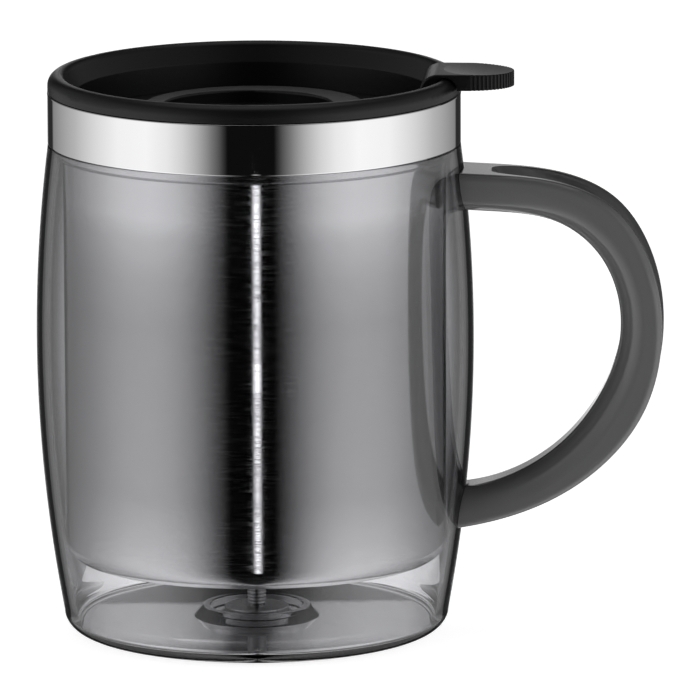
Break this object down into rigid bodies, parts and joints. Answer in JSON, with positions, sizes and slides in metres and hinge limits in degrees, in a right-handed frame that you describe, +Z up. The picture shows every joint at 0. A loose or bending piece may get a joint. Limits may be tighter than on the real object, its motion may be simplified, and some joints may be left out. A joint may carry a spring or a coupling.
{
  "type": "handled insulated mug",
  "caption": "Barrel-shaped insulated desk mug: smoke-clear outer shell with a loop handle, a steel cup inside and a push-in black lid with a turning drinking shutter and thumb tab.",
  "frame": {"origin": "centre of the flat underside, on the mug's axis, at table height", "axes": "+Z up along the mug's axis, +X towards the handle, +Y to the left of someone who looks along +X"},
  "size_m": [0.1288, 0.09, 0.1167],
  "materials": {
    "smoke_plastic": "clear smoke-grey moulding, glossy",
    "smoke_grip": "smoke-grey moulding, thick and nearly opaque, smooth",
    "clear_silicone": "clear, soft",
    "polished_steel": "drawn stainless sheet, polished round the axis",
    "stud_steel": "plain turned steel",
    "black_plastic": "fine satin moulding",
    "dark_silicone": "matt"
  },
  "bodies": {
    "mug": {"outer_shell": "smoke_plastic", "handle": "smoke_grip", "inner_cup": "polished_steel", "collar_seal": "clear_silicone", "cup_stud": "stud_steel", "floor_washer": "dark_silicone", "round_nut": "stud_steel", "lock_nut": "stud_steel", "base_plug": "smoke_plastic"},
    "lid": {"lid_body": "black_plastic", "lid_gasket": "dark_silicone", "hub_seal": "dark_silicone"},
    "shutter": {"shutter": "black_plastic", "hub_washer": "stud_steel", "hub_screw": "stud_steel"}
  },
  "joints": [
    {"name": "lid_lift", "type": "slide", "parent": "mug", "child": "lid", "axis": [0, 0, 1], "range_m": [0, 0.06]},
    {"name": "shutter_turn", "type": "hinge", "parent": "lid", "child": "shutter", "pos_m": [0, 0, 0.105], "axis": [0, 0, 1], "range_deg": [0, 32]}
  ]
}
